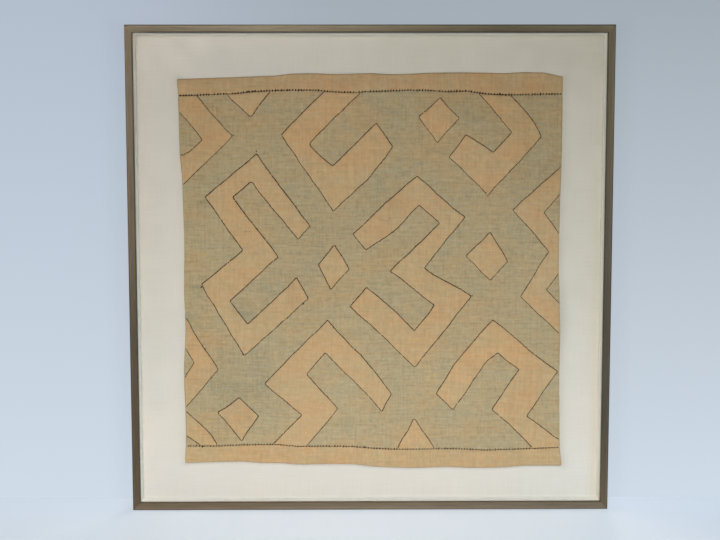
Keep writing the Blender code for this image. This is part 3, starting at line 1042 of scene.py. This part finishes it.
def add_raffia(node, outline, step, layer, material, slot, rests_on, **settings):
    """One cut of raffia. Its cut size, the outline's width and height laid flat and its area, is worked out
    and not kept.

    The layer says in millimetres how far its back and the front of its edge stand over the cloth's
    lie, and how much its front gains inside.
    """
    rise, edge, crown = layer

    def front(points, distance):
        return cloth_back(points) + (edge + crown * rounded(distance)) * MM

    def back(points):
        return cloth_back(points) + rise * MM

    piece = add_sheet(f"{node}_raffia", outline, step, EDGE_RINGS, front, back, material, **settings)
    stand_for(node)
    width, height = (round(float(v), 4) for v in outline.max(0) - outline.min(0))
    area = round(min(flat_area(outline), width * height), 6)


def add_cloth(outlines):
    """The ground cloth, the two bands and the patches."""
    olive = raffia(
        "raffia_olive",
        light=(0.416, 0.317, 0.167), dark=(0.274, 0.209, 0.110), streak_colour=(0.225, 0.170, 0.101),
        short_tints=((0.96, 1.0, 1.035), (1.035, 0.995, 0.935)),
        wide_tints=((0.95, 1.0, 1.035), (1.05, 0.980, 0.915)),
        shares=(0.80, 0.66, 0.50, 0.35), blotches=(12.0, 7.0, 19.0),
    )
    tan = raffia(
        "raffia_light_tan",
        light=(0.476, 0.322, 0.158), dark=(0.364, 0.240, 0.112), streak_colour=(0.300, 0.196, 0.100),
        short_tints=((0.97, 1.005, 1.03), (1.025, 0.99, 0.95)),
        wide_tints=((0.965, 1.01, 1.03), (1.03, 0.97, 0.93)),
        shares=(0.55, 0.70, 0.35, 0.45), blotches=(18.0, 7.0, 26.0),
    )
    add_raffia(
        "ground_cloth", outlines["ground_cloth"], GROUND_STEP, GROUND_LAYER, olive,
        "raffia_ground", ["linen_cover_cloth"],
    )
    for k, node in enumerate(BANDS):
        add_raffia(
            node, outlines[node], BAND_STEP, BAND_LAYER, tan, "raffia_tan", ["linen_cover_cloth"],
            shift=0.31 + 0.2 * k,
        )
    for k, node in enumerate(PATCHES):
        add_raffia(
            node, outlines[node], PATCH_STEP, PATCH_LAYER, tan, "raffia_tan", ["ground_cloth_raffia"],
            turn=random.uniform(-PATCH_TURN, PATCH_TURN), shift=1.0 + 0.37 * k,
        )


# Stitches

def sewn_runs(outline, border):
    """The parts of a patch's outline that are sewn: all but those cut off by the ground's edge."""
    sewn = edge_distance(outline, border) > SIDE_REACH * MM
    if sewn.all():
        return [np.concatenate([outline, outline[:1]])]
    first = int(np.argmin(sewn))
    points, sewn = np.roll(outline, -first, 0), np.roll(sewn, -first)
    runs, run = [], []
    for point, is_sewn in zip(points, sewn):
        if is_sewn:
            run.append(point)
        elif run:
            runs.append(np.array(run))
            run = []
    if run:
        runs.append(np.array(run))
    return [r for r in runs if len(r) > 2]


def spaced(run, pitch):
    """Places and directions along an open line, about one pitch apart."""
    steps = np.linalg.norm(np.diff(run, axis=0), axis=1)
    length = np.concatenate([[0], np.cumsum(steps)])
    count = max(2, round(length[-1] / (pitch * MM)))
    at = (np.arange(count) + 0.5) / count * length[-1]
    at = at + random.uniform(-PITCH_SPREAD, PITCH_SPREAD, count) * pitch * MM
    reach = 0.8 * pitch * MM
    places, ahead, behind = (
        np.stack([np.interp(where, length, run[:, axis]) for axis in (0, 1)], 1)
        for where in (at, at + reach, at - reach)
    )
    way = ahead - behind
    return places, way / np.linalg.norm(way, axis=1)[:, None]


def sewn_height(places, rise):
    """How far the middle of a stitch stands forward of the linen, from its rise over the ground cloth."""
    return cloth_back(places) + (GROUND_THICKNESS + rise) * MM


def sewn_weight(places):
    """How heavy the sewing is at each place, as a share of the usual."""
    weight = np.ones(len(places))
    for x, z, reach, change in SEWN_CHANGES:
        distance = np.hypot(places[:, 0] - x * MM, places[:, 1] - z * MM) / (reach * MM)
        weight += change * np.exp(-distance ** 2)
    return weight


def stitch_rows(places, way, slant, size, height, worn, weight=1.0):
    """Points, faces and tones of a row of stitches. Each is a small spindle that arches over the cloth."""
    keep = random.uniform(size=len(places)) > SKIPPED_STITCHES
    places, way, height, worn = places[keep], way[keep], height[keep], worn[keep]
    heavy = weight * sewn_weight(places)
    count = len(places)
    turn = np.radians(slant + random.normal(0, SLANT_SPREAD, count))
    along = np.stack(turned(*way.T, turn), 1)
    aside = np.stack([-along[:, 1], along[:, 0]], 1)
    length, width, depth = (v * MM * random.uniform(*STITCH_SPREAD, count) for v in size)
    width = width * heavy * (1 - WORN_NARROWER * worn)
    depth = depth * np.sqrt(heavy) * (1 - WORN_FLATTER * worn)
    stations = np.linspace(-1, 1, STITCH_RINGS)
    angles = np.arange(STITCH_SIDES) * 2 * math.pi / STITCH_SIDES
    blocks = []
    for s in stations:
        fat = math.sqrt(1 - STITCH_TAPER * s ** 4)
        arch = -STITCH_ARCH * s ** 4
        for a in angles:
            flat = along * (s * length / 2)[:, None] + aside * (math.cos(a) * fat * width / 2)[:, None]
            up = (math.sin(a) * fat / 2 + arch) * depth
            spot = places + flat
            blocks.append(np.stack([spot[:, 0], LINEN_FRONT - height - up, spot[:, 1]], 1))
    vertices = np.stack(blocks, 1).reshape(-1, 3)
    each = STITCH_SIDES * STITCH_RINGS
    pattern = tube_faces(STITCH_SIDES, STITCH_RINGS - 1)
    faces = [tuple(k * each + v for v in face) for k in range(count) for face in pattern]
    tone = np.clip(UNWORN_TONE + WORN_PALER * worn + random.normal(0, TONE_SPREAD, count), 0, 1)
    return vertices, faces, np.repeat(tone, each)


def add_stitches(name, rows, material):
    """One piece from several rows of stitches."""
    vertices, faces, tones = [], [], []
    for points, polygons, tone in rows:
        faces += [tuple(len(vertices) + k for k in polygon) for polygon in polygons]
        vertices += points.tolist()
        tones += tone.tolist()
    piece = add_mesh(name, vertices, faces, material)
    add_attribute(piece, "tone", "FLOAT", tones)
    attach(piece, BODY)


def sewn(line, kind, wear, weight):
    """A row of one kind of stitch along an open line."""
    pitch, size, slant, rise, shift, wear_waves = STITCHES[kind]
    places, way = spaced(line, pitch)
    places = places + (0.0, shift * MM)
    worn = wear + sum(amount * waves(places, length, seed) for length, amount, seed in wear_waves)
    return stitch_rows(places, way, slant, size, sewn_height(places, rise), np.clip(worn, 0, 1), weight)


def sew_patches(outlines, material):
    for node in PATCHES:
        weight = SEWN_WEIGHT.get(node, 1.0)
        runs = sewn_runs(outlines[node], outlines["ground_cloth"])
        rows = [sewn(run, "rope", PATCH_WEAR, weight) for run in runs]
        add_stitches(f"stitches_{node}", rows, material)


def seam_line(band, ground):
    """The line between a band and the ground: the band's outline where it lies near the ground's."""
    line = band[edge_distance(band, ground) < SEAM_NEAR * MM]
    return line[np.argsort(line[:, 0])]


def sew_seams(outlines, dark, rubbed):
    """Along each seam, a rubbed rope of stitches with dark whip stitches over it."""
    for side, wear in SEAM_WEAR.items():
        line = seam_line(outlines[f"border_{side}"], outlines["ground_cloth"])
        rope = sewn(line, "seam", wear, SEAM_WEIGHT[side])
        whip = sewn(line, "whip", wear, SEAM_WEIGHT[side])
        add_stitches(f"stitches_seam_{side}", [rope], rubbed)
        add_stitches(f"whip_stitches_seam_{side}", [whip], dark)


def tie_knots(material):
    """Small knots where a thread ends: a few short turns over each other."""
    rows = []
    for x, z, size, shade in KNOTS:
        scatter = random.normal(0, KNOT_SCATTER * size * MM, (KNOT_TURNS, 2))
        places = np.array([(x, z)]) * MM + scatter
        bearings = random.uniform(0, math.pi, KNOT_TURNS)
        way = np.stack([np.cos(bearings), np.sin(bearings)], 1)
        height = sewn_height(places, KNOT_RISE)
        worn = np.full(KNOT_TURNS, shade)
        stitch = [size * measure for measure in KNOT_STITCH]
        rows.append(stitch_rows(places, way, 0.0, stitch, height, worn))
    add_stitches("thread_knots", rows, material)


def leave_ends(material):
    """Loose raffia fibres that stand out of the sewing: thin tapering tubes along an arc."""
    vertices, faces = [], []
    steps, sides = END_STEPS, END_SIDES
    for x, z, bearing, length, curl in LOOSE_ENDS:
        turn = math.radians(bearing)
        faces += [tuple(len(vertices) + k for k in face) for face in tube_faces(sides, steps)]
        root = sewn_height(np.array([(x, z)]) * MM, END_RISE)[0]
        for k in range(steps + 1):
            share = k / steps
            aside = curl * math.sin(share * math.pi)
            radius = END_RADIUS * (1 - END_TAPER * share)
            for side in range(sides):
                angle = 2 * math.pi * side / sides
                dx, dz = turned(length * share, aside + math.cos(angle) * radius, turn)
                up = root + (END_ARCH * math.sin(share * math.pi) + math.sin(angle) * radius) * MM
                vertices.append(((x + dx) * MM, LINEN_FRONT - up, (z + dz) * MM))
    piece = add_mesh("loose_raffia_ends", vertices, faces, material)
    face_outward(piece)
    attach(piece, BODY)


# Frame, spacers and linen

def arc(centre, radius, start, end, steps):
    angles = [math.radians(start + (end - start) * k / steps) for k in range(steps + 1)]
    return [(centre[0] + radius * math.cos(a), centre[1] + radius * math.sin(a)) for a in angles]


def rail_profile(side):
    """The rail's outline as (inset, y, rubbed): a bead outside, a shallow hollow and a small inner bead.

    Rubbed is 1 where the wax is rubbed through and lighter, which also paints a highlight, 0 where it is
    whole and -1 where painted shade darkens the lip.
    """
    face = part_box("rail_left")
    width = face[1].x - face[0].x + LIP_OVER[side] * MM
    front, back = face[0].y, face[1].y
    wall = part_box("spacer_left")[0].x - face[0].x - REBATE_GAP * MM
    lip_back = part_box("spacer_left")[0].y - REBATE_GAP * MM
    outer, inner = OUTER_BEAD * MM, INNER_BEAD * MM
    points = [(x, y, 0.35) for x, y in arc((outer, front + outer), outer, 180, 262, 8)]
    points += [(inset * MM, front + depth * MM, rubbed) for inset, depth, rubbed in RAIL_FACE]
    fall = front + LIP_FALL * MM
    points += [(x, y, -0.45) for x, y in arc((width - inner, fall + inner), inner, 272, 340, 5)]
    points += [
        (width, fall + inner, -0.8),
        (width, fall + inner + LIP_CHAMFER * MM, -1.0),
        (width, lip_back - LIP_CHAMFER * MM, -1.0),
        (width - LIP_CHAMFER * MM, lip_back, -1.0),
        (wall, lip_back, 0.0),
        (wall, back - REBATE_CHAMFER * MM, 0.0),
        (wall - REBATE_CHAMFER * MM, back, 0.0),
        (BACK_CHAMFER * MM, back, 0.1),
        (0.0, back - BACK_CHAMFER * MM, 0.2),
        (0.0, front + 12 * MM, 0.1),
    ]
    return points


def spacer_profile():
    """A linen-wrapped strip with softly rounded edges, as (inset, y, mark).

    The mark is -1 at its front edge, 0 a third of the way back, and 1 at its rear edge, and sets where the
    cover's painted shade and painted light fall.
    """
    rail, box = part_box("rail_left"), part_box("spacer_left")
    near, far = box[0].x - rail[0].x, box[1].x - rail[0].x
    front, back = box[0].y, box[1].y
    corners = ((near, front, 180), (far, front, 270), (far, back, 0), (near, back, 90))
    points = []
    for inset, y, start in corners:
        soft = (SPACER_SOFT_FRONT if y == front else SPACER_SOFT_REAR) * MM
        centre_x = inset + soft if inset == near else inset - soft
        centre_y = y + soft if y == front else y - soft
        mark = -1.0 if y == front else 1.0
        points += [(a, b, mark) for a, b in arc((centre_x, centre_y), soft, start, start + 90, 4)]
        if (inset, y) == (far, front):
            points.append((far, front + (back - front) / 3, 0.0))
    return points


def add_bar(name, profile, side, setback, material):
    """A mitred bar along one side of the frame, its section drawn once and carried along it."""
    low, high = CAD_BOX
    along_x = side in ("bottom", "top")
    reach = (high.x - low.x if along_x else high.z - low.z) / 2
    across = (high.z - low.z if along_x else high.x - low.x) / 2
    outward = -1 if side in ("bottom", "left") else 1
    middle = (low.z + high.z) / 2
    count = len(profile)
    around = [0.0]
    for (a, b, _), (c, d, _) in zip(profile, profile[1:]):
        around.append(around[-1] + math.hypot(c - a, d - b))
    vertices, values = [], []
    for k in range(BAR_STEPS + 1):
        for (inset, y, rubbed), run_round in zip(profile, around):
            run = (2 * k / BAR_STEPS - 1) * (reach - inset - setback * MM)
            place = outward * (across - inset)
            x, z = (run, place) if along_x else (place, run)
            vertices.append((x, y, z + middle))
            ends = max(0.0, 1 - (reach - inset - abs(run)) / (MITRE_WEAR * MM))
            values.append((run + GRAIN_SHIFT * across * outward, run_round, min(1.0, rubbed + 0.5 * ends)))
    piece = add_mesh(name, vertices, tube_faces(count, BAR_STEPS), material)
    face_outward(piece)
    piece.data.set_sharp_from_angle(angle=math.radians(SHARP_EDGE))
    add_attribute(piece, "rail", "FLOAT_VECTOR", values)
    add_attribute(piece, "threads", "FLOAT_VECTOR", [(a, 2.0, b) for a, b, _ in values])
    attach(piece, BODY)
    return piece


def add_frame(covers):
    """The four waxed rails, and the four spacers in their linen covers."""
    for side, (axis, tones) in RAIL_PAINTED_LIGHT.items():
        # each side gets its own copy of the wax, with its own painted light and shade
        wood = frame_wood(f"frame_wood_{side}", axis, tones)
        rail = add_bar(f"rail_{side}_waxed", rail_profile(side), side, RAIL_SETBACK, wood)
        stand_for(f"rail_{side}")
        spacer = add_bar(f"spacer_{side}_wrapped", spacer_profile(), side, SPACER_SETBACK, covers[side])
        stand_for(f"spacer_{side}")


def is_inside(points, outline):
    x, z = points.T
    inside = np.zeros(len(points), bool)
    for (x1, z1), (x2, z2) in zip(outline, np.roll(outline, -1, 0)):
        crossed = (z1 > z) != (z2 > z)
        inside[crossed] ^= x[crossed] < x1 + (z[crossed] - z1) / (z2 - z1) * (x2 - x1)
    return inside


def cloth_shadow_points(outlines):
    """Points on the linen close beside the cloth, where its painted shadow changes fast."""
    points = []
    for outline in outlines:
        outward = ways_out(outline)
        points += [(outline + outward * distance * MM)[::2] for distance in CLOTH_SHADOW_RINGS]
    points = np.concatenate(points)
    for outline in outlines:
        points = points[~is_inside(points, outline)]
    return points


def cloth_shadow_depth(points, outlines):
    """How deep the cloth's painted shadow lies on the linen at each point, differently on its four sides.
    """
    distance = np.min([edge_distance(points, outline) for outline in outlines], axis=0) / MM
    for outline in outlines:
        distance[is_inside(points, outline)] = 0
    every = np.concatenate(outlines)
    middle, half = (every.max(0) + every.min(0)) / 2, (every.max(0) - every.min(0)) / 2
    across, up = ((points - middle) / half).T
    beside = np.clip((np.abs(across) - np.abs(up)) / CORNER_BLEND + 0.5, 0, 1)
    depth, reach = (
        np.where(across < 0, CLOTH_SHADOW["left"][k], CLOTH_SHADOW["right"][k]) * beside
        + np.where(up < 0, CLOTH_SHADOW["bottom"][k], CLOTH_SHADOW["top"][k]) * (1 - beside)
        for k in (0, 1)
    )
    return depth * np.exp(-(distance / reach) ** 2)


def add_mount(cover, outlines):
    """The stretched linen, very slightly uneven, with its painted light and shade, and the finish of the
    board behind it.
    """
    cloth = [outlines[name] for name in CLOTH]
    low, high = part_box("linen_cover")
    corners = np.array([(low.x, low.z), (high.x, low.z), (high.x, high.z), (low.x, high.z)])
    thickness = high.y - low.y

    def front(points, distance):
        length, size = LINEN_SWELL
        return waves(points, length, 71) * size * MM

    def back(points):
        return np.full(len(points), -thickness)

    # the linen's tint: painted light and shade by place, and the painted shadow round the cloth's edges
    def tint(points):
        colour = stain_and_shade_tint(points, LINEN_PAINTED_LIGHT)
        colour[:, :3] *= 1 - cloth_shadow_depth(points, cloth)[:, None] * np.array(CLOTH_SHADOW_TINT)
        return colour

    sheet = add_sheet(
        "linen_cover_cloth", divided(corners, LINEN_STEP), LINEN_STEP, (), front, back, cover,
        shift=5.0, tint=tint, extra=[cloth_shadow_points(cloth)],
    )
    stand_for("linen_cover")
    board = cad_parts["mount_board"]
    board.data.materials.clear()
    board.data.materials.append(board_wood())


# Stage

def add_plane(name, low, high, material):
    """A plane across the stage between a lower and an upper edge, each given as (y, z)."""
    corners = [(-STAGE_REACH, *low), (STAGE_REACH, *low), (STAGE_REACH, *high), (-STAGE_REACH, *high)]
    return add_mesh(name, corners, [(0, 1, 2, 3)], material, smooth=False)


def add_stage():
    floor = add_plane("floor", (-STAGE_REACH, 0), (STAGE_REACH, 0), floor_paint())
    wall = add_plane("backdrop", (WALL_Y, 0), (WALL_Y, STAGE_REACH), wall_paint())
    for name in ("visible_diffuse", "visible_glossy", "visible_shadow", "visible_transmission"):
        setattr(wall, name, False)


def floor_paint():
    f = Finish("floor_paint")
    cloud = f.noise(f.place(), (2.0, 2.0, 2.0), 2.0)
    colour = f.mix(f.spread(cloud, 0.3, 0.7), FLOOR_DULL, FLOOR_COLOUR)
    x, y, _ = f.parts(f.place())
    # painted light: the floor glows, more to the sides and towards the wall
    aside = f.spread(f.math("ABSOLUTE", x), *FLOOR_GLOW_ASIDE, smooth=True)
    more = f.math("MULTIPLY", aside, f.spread(y, *FLOOR_GLOW_BACK, 0.3, 1.0))
    glow = f.mix(more, FLOOR_GLOW, FLOOR_SIDE_GLOW)
    return f.finish(colour, 0.85, Emission_Color=glow, Emission_Strength=1.0)


def wall_paint():
    """A glowing backdrop, its glow painted light, paler towards the floor, with a painted shadow beside the
    frame and clear from behind.
    """
    f = Finish("backdrop_paint")
    x, _, z = f.parts(f.place())
    high = f.mix(f.spread(x, -0.6, 0.0, smooth=True), WALL_HIGH_LEFT, WALL_HIGH_RIGHT)
    colour = f.mix(f.spread(z, 0.0, WALL_TOP_HEIGHT), WALL_LOW, high)
    # painted shadow of the frame on the backdrop, beside it and below its top
    aside = f.spread(f.math("ABSOLUTE", x), *WALL_CLEAR_ASIDE, BACKDROP_PAINTED_SHADOW, 1.0, smooth=True)
    above = f.spread(z, *WALL_CLEAR_ABOVE, BACKDROP_PAINTED_SHADOW, 1.0)
    colour = f.shade(colour, f.math("MAXIMUM", aside, above))
    behind = f.node("ShaderNodeNewGeometry").outputs["Backfacing"]
    shaders = (f.node("ShaderNodeEmission", (colour,)), f.node("ShaderNodeBsdfTransparent"))
    choice = f.node("ShaderNodeMixShader", (behind, *(shader.outputs[0] for shader in shaders)))
    f.fill(f.tree.nodes["Material Output"], Surface=choice.outputs[0])
    f.tree.nodes.remove(f.shader)
    return f.material


def add_lights():
    for name, place, aim, radius, beam, watts, colour in LAMPS:
        data = bpy.data.lights.new(name, "SPOT")
        data.shadow_soft_size = radius
        data.spot_size = math.radians(beam)
        data.spot_blend = 1.0
        data.energy = watts
        data.color = colour
        lamp = bpy.data.objects.new(name, data)
        lamp.location = place
        lamp.rotation_euler = (Vector(aim) - Vector(place)).to_track_quat("-Z", "Y").to_euler()
        bpy.context.scene.collection.objects.link(lamp)
    world = bpy.data.worlds.new("studio")
    world.use_nodes = True
    background = world.node_tree.nodes["Background"]
    background.inputs["Color"].default_value = (*WORLD_COLOUR, 1.0)
    background.inputs["Strength"].default_value = WORLD_STRENGTH
    bpy.context.scene.world = world


def add_camera():
    pitch, yaw, roll = (math.radians(v) for v in (CAMERA_PITCH, CAMERA_YAW, CAMERA_ROLL))
    forward = Vector((math.sin(yaw) * math.cos(pitch), math.cos(yaw) * math.cos(pitch), -math.sin(pitch)))
    level = Vector((math.cos(yaw), -math.sin(yaw), 0))
    upright = level.cross(forward)
    right = level * math.cos(roll) + upright * math.sin(roll)
    up = upright * math.cos(roll) - level * math.sin(roll)
    data = bpy.data.cameras.new("camera")
    data.lens = CAMERA_LENS
    data.sensor_width = CAMERA_SENSOR
    camera = bpy.data.objects.new("camera", data)
    turn = Matrix((right, up, -forward)).transposed()
    camera.matrix_world = Matrix.Translation(CAMERA_PLACE) @ turn.to_4x4()
    bpy.context.scene.collection.objects.link(camera)
    bpy.context.scene.camera = camera


# The scene

lift = Lift(CLOTH)
add_camera()
add_lights()
add_stage()
# The four wraps are lit and shaded copies of one linen, darkest at the top and palest at the bottom, with
# painted shade and painted light from their edge tones and foot tones
add_frame({
    "top": linen("linen_wrap_top", (0.58, 0.55, 0.46), (0.64, 0.61, 0.52), (0.04, 1.25, 0.60)),
    "left": linen("linen_wrap_left", (0.77, 0.75, 0.63), (0.85, 0.83, 0.72), (0.86, 1.12, 0.0), 1.12),
    "right": linen("linen_wrap_right", (0.78, 0.755, 0.64), (0.85, 0.83, 0.72), (0.90, 1.20, 0.0), 1.05),
    "bottom": linen("linen_wrap_bottom", (0.90, 0.88, 0.80), (0.97, 0.95, 0.88), (0.98, 1.16, 0.0)),
})
cloth_outlines = {name: redrawn(sheet_outline(name)) for name in (*CLOTH, *PATCHES)}
add_mount(
    linen("linen_weave", (0.549, 0.495, 0.404), (0.594, 0.542, 0.452)), cloth_outlines
)
add_cloth(cloth_outlines)
dark_thread = thread("dark_raffia_thread", (0.018, 0.010, 0.006), (0.080, 0.046, 0.024))
rubbed_thread = thread("rubbed_raffia_thread", (0.075, 0.046, 0.028), (0.220, 0.140, 0.080))
sew_patches(cloth_outlines, dark_thread)
sew_seams(cloth_outlines, dark_thread, rubbed_thread)
tie_knots(dark_thread)
leave_ends(pale_thread())
bpy.context.scene.view_settings.view_transform = "Standard"
